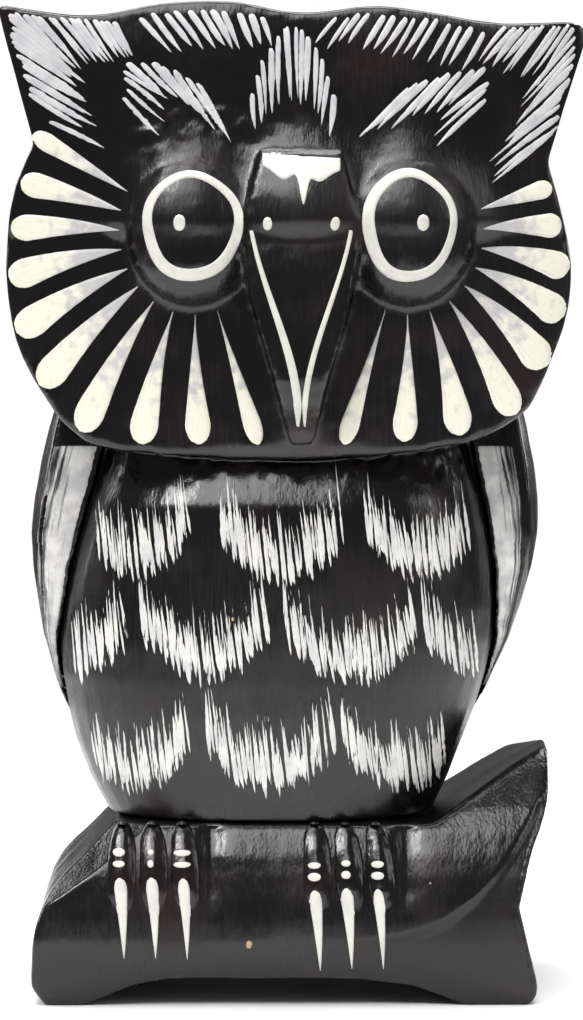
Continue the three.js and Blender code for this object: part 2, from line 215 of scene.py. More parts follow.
cream = (0.80, 0.78, 0.66, 1)
paleGrey = (0.50, 0.49, 0.49, 1)
paint = {
    "thick": cream,
    "thin": paleGrey,
    "streak": (0.30, 0.29, 0.33, 1),
    "streaks": 0.5,  # how strongly the bristle streaks show
    "bristles": 9,  # across a stroke
    "streakShortness": 0.12,
    "cloudSize": 3.5,  # of the thick and thin places
    "runOut": 0,  # how much the paint thins out towards a stroke's end
    "dry": 0,  # more than 0 lets the black show through; the higher, the less of it
    "fade": None,  # where, across a stroke, it starts and ends fading into the black
    "rough": 0.34,
}
blackCoat = blackLacquer()
dowelWood = bareWood()
dropPaint = brushedPaint("cream_drops", {**paint, "cloudSize": 2.6, "streaks": 0.35, "runOut": 0.22})
ringPaint = brushedPaint(
    "white_lines",
    {**paint, "thick": (0.70, 0.69, 0.62, 1), "thin": (0.62, 0.61, 0.57, 1), "streaks": 0.1},
)
greyPaint = brushedPaint(
    "pale_strokes",
    {**paint, "thick": (0.62, 0.61, 0.62, 1), "thin": (0.50, 0.49, 0.51, 1), "streaks": 0.2},
)
featherPaint = brushedPaint(
    "dry_brushed_feathers",
    {
        **paint, "thick": (0.74, 0.73, 0.69, 1), "thin": (0.60, 0.59, 0.59, 1), "bristles": 5,
        "dry": 0.63, "dryTop": 0.2, "dryBottom": 0.1, "hairSize": 0.34,
    },
)
stripePaint = brushedPaint(
    "wing_stripes",
    {**paint, "thick": (0.74, 0.73, 0.70, 1), "bristles": 12, "streakShortness": 0.3, "fade": (0.45, 1.0)},
)
print("materials made")


# the wooden pieces

def solidCopy(node, spread=0):
    # a merged copy of a CAD solid, made wider by the given amount on each side
    mesh = bmesh.new()
    mesh.from_mesh(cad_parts[node].data)
    bmesh.ops.remove_doubles(mesh, verts=mesh.verts[:], dist=0.005 * mm)
    if spread:
        low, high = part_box(node)
        middle, size = (low + high) / 2, high - low
        for vert in mesh.verts:
            vert.co.x += (vert.co.x - middle.x) * 2 * spread * mm / size.x
            vert.co.z += (vert.co.z - middle.z) * 2 * spread * mm / size.z
    return mesh


def whittled(name, solids, voxel, rounds):
    # one even mesh round the solids, with its edges worn smooth
    joined = bmesh.new()
    for solid in solids:
        part = bpy.data.meshes.new(name)
        solid.to_mesh(part)
        solid.free()
        joined.from_mesh(part)
        bpy.data.meshes.remove(part)
    mesh = bpy.data.meshes.new(name)
    joined.to_mesh(mesh)
    joined.free()
    block = bpy.data.objects.new(name, mesh)
    collection.objects.link(block)
    remesh = block.modifiers.new("Remesh", "REMESH")
    remesh.mode = "VOXEL"
    remesh.voxel_size = voxel * mm
    wear = block.modifiers.new("Smooth", "SMOOTH")
    wear.iterations = rounds
    wear.factor = 0.5
    seen = block.evaluated_get(bpy.context.evaluated_depsgraph_get())
    finished = bpy.data.meshes.new_from_object(seen)
    bpy.data.objects.remove(block)
    return finished


paintRoom = 0.35  # left free for paint between the wood and the CAD model's box


def carved(mesh, nodes, move, dullness):
    # moves each point by move(point, normal), kept inside the solids' box, and stores how dull it is
    boxes = [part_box(node) for node in nodes]
    room = (paintRoom * mm, paintRoom * mm, 0)
    lowest = [max(min(box[0][axis] for box in boxes), cadBox[0][axis] + room[axis]) for axis in range(3)]
    highest = [min(max(box[1][axis] for box in boxes), cadBox[1][axis] - room[axis]) for axis in range(3)]
    points = [vert.co.copy() for vert in mesh.vertices]
    normals = [vert.normal.copy() for vert in mesh.vertices]
    satin = mesh.attributes.new("satin", "FLOAT", "POINT")
    for i, (point, normal) in enumerate(zip(points, normals)):
        moved = point + move(point, normal) * mm
        mesh.vertices[i].co = [min(max(moved[axis], lowest[axis]), highest[axis]) for axis in range(3)]
        satin.data[i].value = dullness(point / mm, normal)
    mesh.update()
    return mesh


def addPiece(name, mesh, material, nodes=()):
    mesh.name = name
    mesh.materials.clear()
    mesh.materials.append(material)
    mesh.shade_smooth()
    piece = bpy.data.objects.new(name, mesh)
    collection.objects.link(piece)
    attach(piece, "root")
    if nodes:
        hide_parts(*nodes)
    return piece


eyeBox = {side: [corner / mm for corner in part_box(f"{side}_eye")] for side in sides}
eyeMiddle = {side: middleOf(f"{side}_eye") for side in sides}
eyeHalf = (eyeBox["left"][1] - eyeBox["left"][0]) / 2
headLow, headHigh = (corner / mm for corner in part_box("head"))
beakLow, beakHigh = (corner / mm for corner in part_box("beak"))
beakMiddle = (beakLow + beakHigh) / 2
beakHalf = (beakHigh.x - beakLow.x) / 2
beakTall = beakHigh.z - beakLow.z
bodyLow, bodyHigh = (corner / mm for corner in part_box("body"))
logLow, logHigh = (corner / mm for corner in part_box("log"))

headCarving = {
    "voxel": 0.75,
    "rounds": 9,
    # swellings of the brow over each eye and over the beak: how far they stand out and reach across and up
    "brow": {"rise": 6.6, "across": 25, "up": 33},
    "bridge": {"rise": 8, "across": 32, "up": 27},
    "softness": 5,  # how gently a swelling runs into its neighbours
    "swellBack": -12,  # nothing behind this depth swells
    "lumpDepth": 0.55,  # gouge marks over the left brow
    "lumpSize": 3.4,
    "lumpPlace": (-0.44, 0.74),  # share of half the head's width, and of its height
    "toolDepth": 0.22,
    "toolSize": 11,
    "fadeOut": (3, -9, 12),  # the swellings sink between these heights from the eyes' middles, by this much
    "pointThinning": 0.75,  # share of the beak's front that is taken off at its point
    "dull": {"all": 0.35, "leftBrow": -0.25, "rightFace": 0.25, "overEyes": 0.35},
}


def headPlace(across, up):
    # a place in the front view, from shares of half the head's width and of its height
    return Vector((across * headHigh.x, headLow.z + up * (headHigh.z - headLow.z)))


def softest(first, second, softness):
    # the larger of two numbers, with a rounded corner where they are alike
    share = min(max(0.5 + 0.5 * (first - second) / softness, 0), 1)
    return second + (first - second) * share + softness * share * (1 - share)


def swelling(at, plan, x, z):
    away = min(math.hypot((at.x - x) / plan["across"], (at.z - z) / plan["up"]), 1)
    return (plan["rise"] + headCarving["softness"]) * (1 - away * away) ** 2 - headCarving["softness"]


def browSwell(at):
    # how far the brow stands out of the head's front
    z = eyeMiddle["left"].z
    rise = swelling(at, headCarving["bridge"], beakMiddle.x, z + 2)
    for middle in eyeMiddle.values():
        rise = softest(rise, swelling(at, headCarving["brow"], middle.x, z), headCarving["softness"] / 2)
    start, end, most = headCarving["fadeOut"]
    return rise - most * blend(z + start, z + end, at.z)


def headMove(point, normal):
    at = point / mm
    look = headCarving
    front = blend(0.1, 0.7, -normal.y)
    push = look["toolDepth"] * ripple(point, look["toolSize"])
    lumpX, lumpZ = headPlace(*look["lumpPlace"])
    leftBrow = hump(at.x - lumpX, 18) * hump(at.z - lumpZ, 9)
    lumps = ripple(point, look["lumpSize"]) + 0.6 * ripple(point, look["lumpSize"] * 0.45)
    push += front * look["lumpDepth"] * (0.2 + leftBrow) * lumps
    moved = normal * push
    proud = headLow.y - (at.y + moved.y)
    inFront = blend(look["swellBack"], look["swellBack"] - 6, at.y)
    moved.y -= (softest(proud, browSwell(at), look["softness"]) - proud) * inFront
    # the beak thins out at its point
    beyond = max(headLow.y - at.y, 0) * blend(beakLow.z + 9, beakLow.z - 1, at.z)
    moved.y += look["pointThinning"] * (beyond * hump(at.x - beakMiddle.x, 6))
    return moved


def headDullness(at, normal):
    lumpX, lumpZ = headPlace(*headCarving["lumpPlace"])
    leftBrow = hump(at.x - lumpX, 24) * hump(at.z - lumpZ, 14)
    rightFace = blend(5, 30, at.x) * blend(175, 160, at.z)
    overEyes = blend(-2, 2, browSwell(at))
    dull = headCarving["dull"]
    level = dull["all"] + dull["leftBrow"] * leftBrow
    return level + dull["rightFace"] * rightFace + dull["overEyes"] * overEyes


bodyCarving = {
    "voxel": 0.7,
    "rounds": 8,
    "gougeDepth": 0.5,  # rough cutting under the ledge of the head
    "slopeDepth": 3.4,  # the breast leans back under the ledge
    "gougeFrom": 102,
    "gougeTo": 108,
    "grooveDepth": 0.8,  # lines of the tail, cut into the back
    "grooveSpacing": 11,
    "grooveTop": 84,
    "toolDepth": 0.22,
    "toolSize": 13,
}


def cutLine(value, spacing, width=0.9):
    # 1 on evenly spaced lines and 0 between them
    away = abs((value / spacing + 0.5) % 1 - 0.5) * spacing
    return hump(away, width)


def bodyMove(point, normal):
    at = point / mm
    look = bodyCarving
    rough = blend(look["gougeFrom"], look["gougeTo"], at.z) * blend(0.1, 0.6, -normal.y)
    squeezed = Vector((point.x, point.y, point.z * 0.6))
    push = rough * look["gougeDepth"] * (ripple(squeezed, 2.4) + 0.6 * ripple(squeezed, 1.3))
    push += look["toolDepth"] * ripple(point, look["toolSize"])
    behind = blend(0.3, 0.8, normal.y) * blend(look["grooveTop"], look["grooveTop"] - 12, at.z)
    spread = (at.x - (bodyLow.x + bodyHigh.x) / 2) * (1 + (look["grooveTop"] - at.z) / 120)
    push -= behind * look["grooveDepth"] * cutLine(spread, look["grooveSpacing"])
    moved = normal * push
    slope = look["slopeDepth"] * blend(look["gougeFrom"] - 4, headLow.z + 2, at.z)
    moved.y += slope * blend(0.1, 0.6, -normal.y)
    return moved


def bodyDullness(at, normal):
    return 0.15 + 0.5 * blend(100, 88, at.z)


logCarving = {
    "voxel": 0.65,
    "rounds": 14,
    "stepDepth": 0.9,  # the raised branch stands this far out of the log
    "branchFrom": (0.15, 0.25),  # its lower edge's two ends: share of half the log's width, and of its height
    "branchTo": (0.97, 0.8),
    "branchBend": 3,
    "tipReach": 1.3,  # how far the raised end is drawn out again after the smoothing
    "shoulderPlace": (-0.75, -0.7, 0.62),  # the flat cut on the left shoulder, in shares too
    "shoulderFacing": (-0.42, -0.5, 0.76),
    "scoopDepth": 0.9,  # of the hollow beside each foot
    "scoopAway": 2.5,  # from the foot's last toe
    "scoopWidth": 2.2,
    "toolDepth": 0.25,
    "toolSize": 12,
}


def logPlace(across, up):
    return across * logHigh.x, up * logHigh.z


def branchEdge(x):
    # height of the raised branch's lower edge
    left, low = logPlace(*logCarving["branchFrom"])
    right, high = logPlace(*logCarving["branchTo"])
    share = min(max((x - left) / (right - left), 0), 1)
    return low + (high - low) * share ** logCarving["branchBend"]


def belowBranch(at, soft=1.2):
    left, edge = logPlace(*logCarving["branchFrom"])[0], branchEdge(at.x)
    return blend(left - 4, left + 18, at.x) * blend(edge + soft, edge - soft, at.z)


footEnds = {side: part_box(f"{side}_foot_right_toe")[1] / mm for side in sides}
footTop = footEnds["left"].z


def logMove(point, normal):
    at = point / mm
    look = logCarving
    front = blend(0.2, 0.7, -normal.y)
    push = look["toolDepth"] * ripple(point, look["toolSize"])
    push -= front * look["stepDepth"] * belowBranch(at)
    for end in footEnds.values():
        scoop = front * look["scoopDepth"] * hump(at.x - end.x - look["scoopAway"], look["scoopWidth"])
        push -= scoop * blend(footTop - 20, footTop - 13, at.z)
    moved = normal * push
    tip = blend(0.84, 1, at.x / logHigh.x) * blend(0.8, 1, at.z / logHigh.z)
    moved += Vector((1, 0, -0.12 * max(at.y, 0))) * look["tipReach"] * tip
    facing = Vector(look["shoulderFacing"]).normalized()
    across, forward, up = look["shoulderPlace"]
    onCut = Vector((across * logHigh.x, forward * -logLow.y, up * logHigh.z))
    proud = (at - onCut).dot(facing)
    if proud > 0:
        moved -= facing * proud
    return moved


def logDullness(at, normal):
    upper = blend(20, 32, at.z)
    return min(0.5 - 0.35 * upper + 0.6 * belowBranch(at), 1)


wingCarving = {
    "voxel": 0.4,
    "rounds": 12,
    "featherSpacing": 6.5,  # long feathers cut into the wing's side
    "featherLean": 0.4,
    "featherDepth": 0.45,
    "featherTop": 100,
    "toolDepth": 0.12,
    "toolSize": 6,
}


def wingMove(point, normal):
    at = point / mm
    look = wingCarving
    sideways = blend(0.5, 0.9, abs(normal.x)) * blend(look["featherTop"], look["featherTop"] - 8, at.z)
    cut = cutLine(at.y + look["featherLean"] * at.z, look["featherSpacing"])
    push = look["toolDepth"] * ripple(point, look["toolSize"]) - look["featherDepth"] * sideways * cut
    return normal * push


toeCarving = {
    "voxel": 0.3,
    "rounds": 6,
    "widen": 1.14,  # neighbouring toes meet in a groove
    "keep": 0.5,  # share of a toe's height over the log that is left after cutting it flatter
    "runOut": 8,  # its lower end runs out into the log over this length
    "most": 2.6,  # cut off, at the most
    "toolDepth": 0.1,
    "toolSize": 3,
}


def toeMove(middle, low, under):
    def move(point, normal):
        at = point / mm
        moved = Vector(((at.x - middle.x) * (toeCarving["widen"] - 1), 0, 0))
        moved += normal * toeCarving["toolDepth"] * ripple(point, toeCarving["toolSize"])
        place = under.ray_cast(Vector((point.x, rayStart, point.z)), towardsBack)[0]
        if place is not None and place.y > point.y:
            keep = toeCarving["keep"] * blend(low - 1, low + toeCarving["runOut"], at.z) - 0.06
            moved.y += min((place.y - point.y) / mm, toeCarving["most"]) * (1 - keep)
        return moved

    return move


def evenDullness(level):
    return lambda at, normal: level


faceCuts = {
    "seatDepth": 3,
    "behind": 4,  # a cut goes no further back than this behind the front of the head's box
    "beakTaper": 0.22,  # the beak's outline draws in again at its top by this share
    "beakSpare": 0.6,  # and is this much wider than its box's half width would have it
    "eyeShare": 0.97,  # of the eye's box
    "beakGap": 1.6,  # between the outlines of an eye and the beak
}


def beakEdge(at, margin=0):
    # how far a point is outside the beak's outline, which is wide near its top and narrow at its point
    up = (at.z - beakLow.z) / beakTall
    taper = 1 - faceCuts["beakTaper"] * blend(0.75, 1.05, up)
    half = beakHalf * blend(-0.25, 0.85, up) * taper + faceCuts["beakSpare"]
    ends = max(-up, up - 1) * beakTall
    behind = at.y - headLow.y - faceCuts["behind"]
    return max(abs(at.x - beakMiddle.x) - half - margin, ends - margin, behind)


def eyeEdge(side):
    middle = eyeMiddle[side]

    def edge(at):
        away = math.hypot((at.x - middle.x) / eyeHalf.x, (at.z - middle.z) / eyeHalf.z)
        behind = at.y - headLow.y - faceCuts["behind"]
        return max((away - faceCuts["eyeShare"]) * eyeHalf.x, behind, -beakEdge(at, faceCuts["beakGap"]))

    return edge


def cutAlong(mesh, edgeAt):
    # gives the mesh an unbroken line of edges where edgeAt is 0
    value = {vert: edgeAt(vert.co / mm) for vert in mesh.verts}
    crossing = [edge for edge in mesh.edges if value[edge.verts[0]] * value[edge.verts[1]] < 0]
    onLine = set()
    for edge in crossing:
        first, second = edge.verts
        share = value[first] / (value[first] - value[second])
        if share < 0.25 and first not in onLine and second not in onLine:
            first.co = first.co.lerp(second.co, share)
            onLine.add(first)
        elif share > 0.75 and first not in onLine and second not in onLine:
            second.co = second.co.lerp(first.co, 1 - share)
            onLine.add(second)
    made = []
    for edge in crossing:
        first, second = edge.verts
        if first not in onLine and second not in onLine:
            share = value[first] / (value[first] - value[second])
            made.append(bmesh.utils.edge_split(edge, first, share)[1])
    bmesh.ops.connect_verts(mesh, verts=made + list(onLine))


def cutOut(mesh, name, edgeAt, depth):
    # splits a piece off the mesh along a line, and gives both of them a closed pocket wall
    parts = []
    for keepInside in (True, False):
        part = bmesh.new()
        part.from_mesh(mesh)
        cutAlong(part, edgeAt)
        gone = [face for face in part.faces if (edgeAt(face.calc_center_median() / mm) < 0) != keepInside]
        bmesh.ops.delete(part, geom=gone, context="FACES")
        rim = [edge for edge in part.edges if edge.is_boundary]
        for edge in rim:
            edge.smooth = False
        wall = bmesh.ops.extrude_edge_only(part, edges=rim)
        deeper = [vert for vert in wall["geom"] if isinstance(vert, bmesh.types.BMVert)]
        bmesh.ops.translate(part, verts=deeper, vec=(0, depth * mm, 0))
        bmesh.ops.holes_fill(part, edges=[edge for edge in part.edges if edge.is_boundary])
        bmesh.ops.triangulate(part, faces=[face for face in part.faces if len(face.verts) > 4])
        bmesh.ops.recalc_face_normals(part, faces=part.faces[:])
        data = bpy.data.meshes.new(name if keepInside else mesh.name)
        part.to_mesh(data)
        part.free()
        parts.append(data)
    return parts


faceNodes = ["head", "beak", "left_eye", "right_eye"]
seatDepth = faceCuts["seatDepth"]
wood = []
faceSolids = [solidCopy("head"), solidCopy("beak", 0.5)] + [solidCopy(f"{side}_eye", 0.5) for side in sides]
headMesh = whittled("carved_head", faceSolids, headCarving["voxel"], headCarving["rounds"])
headMesh = carved(headMesh, faceNodes, headMove, headDullness)
beakMesh, headMesh = cutOut(headMesh, "carved_beak", beakEdge, seatDepth)
wood.append(addPiece("carved_beak", beakMesh, blackCoat, ["beak"]))
for side in sides:
    eyeMesh, headMesh = cutOut(headMesh, f"carved_{side}_eye", eyeEdge(side), seatDepth)
    wood.append(addPiece(f"carved_{side}_eye", eyeMesh, blackCoat, [f"{side}_eye"]))
wood.append(addPiece("carved_head", headMesh, blackCoat, ["head"]))

bodyMesh = whittled("carved_body", [solidCopy("body")], bodyCarving["voxel"], bodyCarving["rounds"])
bodyMesh = carved(bodyMesh, ["body"], bodyMove, bodyDullness)
wood.append(addPiece("carved_body", bodyMesh, blackCoat, ["body"]))
logMesh = whittled("carved_log", [solidCopy("log")], logCarving["voxel"], logCarving["rounds"])
logMesh = carved(logMesh, ["log"], logMove, logDullness)
wood.append(addPiece("carved_log", logMesh, blackCoat, ["log"]))


def shapeOf(pieces):
    # the pieces' faces, ready to be looked up
    verts, faces = [], []
    for piece in pieces:
        start = len(verts)
        verts += [vert.co.copy() for vert in piece.data.vertices]
        faces += [[start + i for i in face.vertices] for face in piece.data.polygons]
    return BVHTree.FromPolygons(verts, faces)


logShape = shapeOf([wood[-1]])
wingShape = {}
for side in sides:
    wing = f"{side}_wing"
    wingMesh = whittled(f"carved_{wing}", [solidCopy(wing)], wingCarving["voxel"], wingCarving["rounds"])
    wingMesh = carved(wingMesh, [wing], wingMove, evenDullness(0.35))
    wood.append(addPiece(f"carved_{wing}", wingMesh, blackCoat, [wing]))
    wingShape[side] = shapeOf([wood[-1]])
    for toe in ("left", "middle", "right"):
        node = f"{side}_foot_{toe}_toe"
        toeMesh = whittled(f"carved_{node}", [solidCopy(node)], toeCarving["voxel"], toeCarving["rounds"])
        move = toeMove(middleOf(node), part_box(node)[0].z / mm, logShape)
        toeMesh = carved(toeMesh, [node], move, evenDullness(0.1))
        wood.append(addPiece(f"carved_{node}", toeMesh, blackCoat, [node]))
for name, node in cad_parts.items():
    if "dowel" in name:
        node.data.materials.clear()
        node.data.materials.append(dowelWood)
print("wood carved:", len(wood), "pieces")


# paint

surface = shapeOf(wood)
chance = random.Random(7)
frontLimit = 0.004  # paint of the front view reaches no further back than this, in metres


def frontOf(shape, x, z):
    return shape.ray_cast(Vector((x * mm, rayStart, z * mm)), towardsBack)[:2]


drawIn = {"tries": 40, "inward": 0.006, "down": 0.05}  # steps: a share of x, and millimetres on the head


def onWood(x, z):
    # the place and facing of the wood's front; a place past its outline is drawn in until it is on it
    for tries in range(drawIn["tries"]):
        down = drawIn["down"] * tries * (z > headLow.z)
        hit, normal = frontOf(surface, x * (1 - drawIn["inward"] * tries), z - down)
        if hit is not None and hit.y < frontLimit:
            return hit, normal
    return surface.find_nearest(Vector((x * mm, cadBox[0].y, z * mm)))[:2]


def newPaint():
    mesh = bmesh.new()
    mesh.loops.layers.uv.new("stroke")
    return mesh


rimLift = -0.06  # a coat's rim is sunk into the wood
crown = 0.35  # share of its thickness that a coat loses towards its sides


def paintGrid(mesh, placeAt, along, across, thickness, ring=False):
    # one coat: a grid laid on the wood, crowned in the middle and sunk at its rim
    grid = bmesh.ops.create_grid(mesh, x_segments=along, y_segments=across, size=1, calc_uvs=True)
    for vert in grid["verts"]:
        t, v = (vert.co.x + 1) / 2, vert.co.y
        spot = placeAt(t, v)
        hit, normal = onWood(spot.x, spot.y)
        rim = abs(v) > 0.99 or (not ring and (t < 0.001 or t > 0.999))
        lift = rimLift if rim else thickness * (1 - crown * v * v)
        vert.co = hit + normal * lift * mm


def brushMark(mesh, spine, width, shape, along=14, across=3, thickness=0.14, ring=False, rough=0):
    # one stroke along a spine
    def placeAt(t, v):
        before, after = t - 0.01, t + 0.01
        if not ring:
            before, after = max(before, 0), min(after, 1)
        ahead = spine(after) - spine(before)
        out = Vector((-ahead.y, ahead.x)).normalized()
        return spine(t) + out * v * shape(t) * width / 2 * (1 + chance.uniform(-rough, rough))

    paintGrid(mesh, placeAt, along, across, thickness, ring)


paintBase = 0.25  # how far a coat of paint goes into the wood under it


def closedPaint(name, mesh, material):
    bmesh.ops.remove_doubles(mesh, verts=mesh.verts[:], dist=0.002 * mm)
    for face in mesh.faces:
        # a coat faces the same way as the wood under it
        face.normal_update()
        if face.normal.dot(surface.find_nearest(face.calc_center_median())[1]) < 0:
            face.normal_flip()
    under = bmesh.ops.extrude_face_region(mesh, geom=mesh.faces[:], use_keep_orig=True)
    for vert in under["geom"]:
        if isinstance(vert, bmesh.types.BMVert):
            vert.co -= surface.find_nearest(vert.co)[1] * paintBase * mm
    for vert in mesh.verts:
        vert.co = [min(max(vert.co[axis], cadBox[0][axis]), cadBox[1][axis]) for axis in range(3)]
    bmesh.ops.recalc_face_normals(mesh, faces=mesh.faces[:])
    data = bpy.data.meshes.new(name)
    mesh.to_mesh(data)
    mesh.free()
    return addPiece(name, data, material)


def roundShape(t):
    return math.sqrt(max(1 - (2 * t - 1) ** 2, 0.0004))


def line(start, end, bend=0):
    # a spine between two points, bowed sideways
    a, b = Vector(start), Vector(end)
    side = Vector((-(b - a).y, (b - a).x)).normalized()
    return lambda t: a.lerp(b, t) + side * bend * 4 * t * (1 - t)


def between(ends, share):
    return ends[0] + (ends[1] - ends[0]) * share


dropPlan = {
    # an even fan of drops beside each eye: its two outer drops, in degrees above the level line
    "left": {"fan": (31, -107), "count": 10},
    "right": {"fan": (17, -107), "count": 9},
    "slim": 4,  # width of the outer drops
    "wide": 6.6,  # and of those in the middle of the fan
    "gap": 2,  # between the rim of an eye and a drop's tip
    "inset": 0.6,  # between a drop's fat end and the side of the head
    "lowInset": 2.4,  # and the head's lower edge
    "bend": 0.9,
    "fatPlace": 0.16,  # share of a drop's length where it is widest
    "thickness": 0.3,
    "grid": (30, 7),  # steps along and across a drop
}
sideStart = -0.008  # metres: further back than this is the head's side
rimSearch = {"from": 8, "to": 80, "step": 0.25}  # along a line out from an eye


def headRim(middle, direction, inset):
    # how far the front of the head goes from an eye in a direction, less the inset
    reach = rimSearch["from"]
    while reach < rimSearch["to"]:
        x, z = middle.x + direction.x * reach, middle.z + direction.y * reach
        hit = frontOf(surface, x, z)[0]
        if hit is None or hit.y > sideStart or z < headLow.z + 1:
            break
        reach += rimSearch["step"]
    return reach - inset


def dropShape(slim):
    fat = dropPlan["fatPlace"]

    def shape(t):
        if t < fat:
            return math.sqrt(max(1 - ((fat - t) / fat) ** 2, 0.01))
        return max(((1 - t) / (1 - fat)) ** slim, 0.05)

    return shape


drops = newPaint()
for side, sign in sides.items():
    plan = dropPlan[side]
    middle = Vector((eyeMiddle[side].x, eyeMiddle[side].z))
    for i in range(plan["count"]):
        share = i / (plan["count"] - 1)
        angle = math.radians(between(plan["fan"], share))
        way = Vector((sign * math.cos(angle), math.sin(angle)))
        low = blend(-50, -90, math.degrees(angle))
        inset = between((dropPlan["inset"], dropPlan["lowInset"]), low)
        fatEnd = middle + way * headRim(eyeMiddle[side], way, inset)
        eyeRim = 1 / math.hypot(way.x / eyeHalf.x, way.y / eyeHalf.z)
        tip = middle + way * (eyeRim + dropPlan["gap"])
        width = between((dropPlan["slim"], dropPlan["wide"]), math.sin(math.pi * share) ** 0.8)
        width *= chance.uniform(0.94, 1.06)
        bend = -sign * dropPlan["bend"] * math.sin(math.pi * share)
        shape = dropShape(0.85 + 0.4 * low)
        brushMark(drops, line(fatEnd, tip, bend), width, shape, *dropPlan["grid"], dropPlan["thickness"])
closedPaint("face_drops", drops, dropPaint)

ringPlan = {
    "rise": 0.09,  # the ring's middle over the eye's, as a share of the eye's half height
    "left": {"reach": (0.72, 0.68), "heavyAt": -100},  # shares of the eye's half width and half height
    "right": {"reach": (0.67, 0.7), "heavyAt": 200},
    "width": 1.6,
    "extra": 1.1,  # how much wider the line is on its heavy side
    "grid": (96, 6),
    "thickness": 0.22,
}


def eyeRing(side):
    plan = ringPlan[side]
    middle = Vector((eyeMiddle[side].x, eyeMiddle[side].z + ringPlan["rise"] * eyeHalf.z))

    def spine(t):
        turn = 2 * math.pi * t
        wobble = 1 + 0.02 * math.sin(3 * turn + 1) + 0.015 * math.sin(5 * turn)
        across, up = plan["reach"]
        reach = Vector((math.cos(turn) * across * eyeHalf.x, math.sin(turn) * up * eyeHalf.z))
        return middle + reach * wobble

    def widthAt(t):
        heavy = 0.5 + 0.5 * math.cos(2 * math.pi * t - math.radians(plan["heavyAt"]))
        return ringPlan["width"] + ringPlan["extra"] * heavy

    return spine, widthAt


rings = newPaint()
for side in sides:
    spine, widthAt = eyeRing(side)
    brushMark(rings, spine, 1, widthAt, *ringPlan["grid"], ringPlan["thickness"], ring=True)
tailStart = eyeRing("right")[0](0.69)  # a little tail of paint under the right ring
brushMark(rings, line(tailStart, tailStart + Vector((-1.6, -0.6))), 1.4, dropShape(0.8), 10, 4, 0.2)
closedPaint("eye_rings", rings, ringPaint)

dabPlan = {
    "pupilPlace": (0.2, 0.12),  # from the eye's middle, outwards and up, in shares of its half size
    "pupilSize": (2.6, 3.4),
    "nostrilPlace": (0.6, 0.76),  # from the beak's middle, and up from its point, in shares
    "nostrilSize": (2, 2.8),
    "dabsLean": 0.3,
}


def dab(mesh, at, size, lean=0, thickness=0.2):
    width, height = size
    spine = line(at + Vector((lean, height)) / 2, at - Vector((lean, height)) / 2)
    brushMark(mesh, spine, width, roundShape, 10, 6, thickness)


dabs = newPaint()
for side, sign in sides.items():
    out, up = dabPlan["pupilPlace"]
    middle = eyeMiddle[side]
    dab(dabs, Vector((middle.x + sign * out * eyeHalf.x, middle.z + up * eyeHalf.z)), dabPlan["pupilSize"])
    out, up = dabPlan["nostrilPlace"]
    nostril = Vector((beakMiddle.x + sign * out * beakHalf, beakLow.z + up * beakTall))
    dab(dabs, nostril, dabPlan["nostrilSize"], dabPlan["dabsLean"] * (1 + sign))
closedPaint("pupils_and_nostrils", dabs, ringPaint)

browPlan = {
    "place": 0.995,  # share of the beak's height
    "half": 0.7,  # of half its width
    "bar": 2.9,
    "lobe": 2.1,  # the bar hangs lower between its ends and the stem
    "lobeWidth": 0.3,
    "stem": 6.5,
    "stemWidth": 0.12,
    "grid": (64, 14),
    "thickness": 0.24,
}


def browAt(t, v):
    across = 2 * t - 1
    lobes = browPlan["lobe"] * hump(abs(across) - 0.45, browPlan["lobeWidth"])
    stem = browPlan["stem"] * hump(across - 0.05, browPlan["stemWidth"])
    tall = (browPlan["bar"] + lobes + stem) * (0.75 + 0.25 * math.sqrt(max(1 - across ** 6, 0)))
    x = beakMiddle.x + across * browPlan["half"] * beakHalf
    return Vector((x, beakLow.z + browPlan["place"] * beakTall - 0.5 * across - tall * (1 - v) / 2))


brow = newPaint()
paintGrid(brow, browAt, *browPlan["grid"], browPlan["thickness"])
closedPaint("brow_mark", brow, ringPaint)

beakPlan = {
    "from": 0.74,  # shares of the beak's height
    "to": 0.05,
    "half": 0.94,  # share of half its width, at the lines' upper ends
    "pointHalf": 0.06,  # and at their lower ends
    "left": {"width": 1.9, "thinStart": 0.5},
    "right": {"width": 1.3, "thinStart": 0.7},
    "grid": (50, 4),
    "thickness": 0.2,
}


def beakLine(sign):
    def spine(t):
        up = between((beakPlan["from"], beakPlan["to"]), t)
        half = beakHalf * between((beakPlan["pointHalf"], beakPlan["half"]), blend(0.1, 0.85, up))
        return Vector((beakMiddle.x + sign * half, beakLow.z + up * beakTall))

    return spine


beakLines = newPaint()
for side, sign in sides.items():
    plan = beakPlan[side]
    widthAt = lambda t: between((plan["thinStart"], 1), blend(0, 0.8, t)) * min(1, 0.3 + 6 * (1 - t))
    brushMark(beakLines, beakLine(sign), plan["width"], widthAt, *beakPlan["grid"], beakPlan["thickness"])
closedPaint("beak_lines", beakLines, ringPaint)
print("face painted")

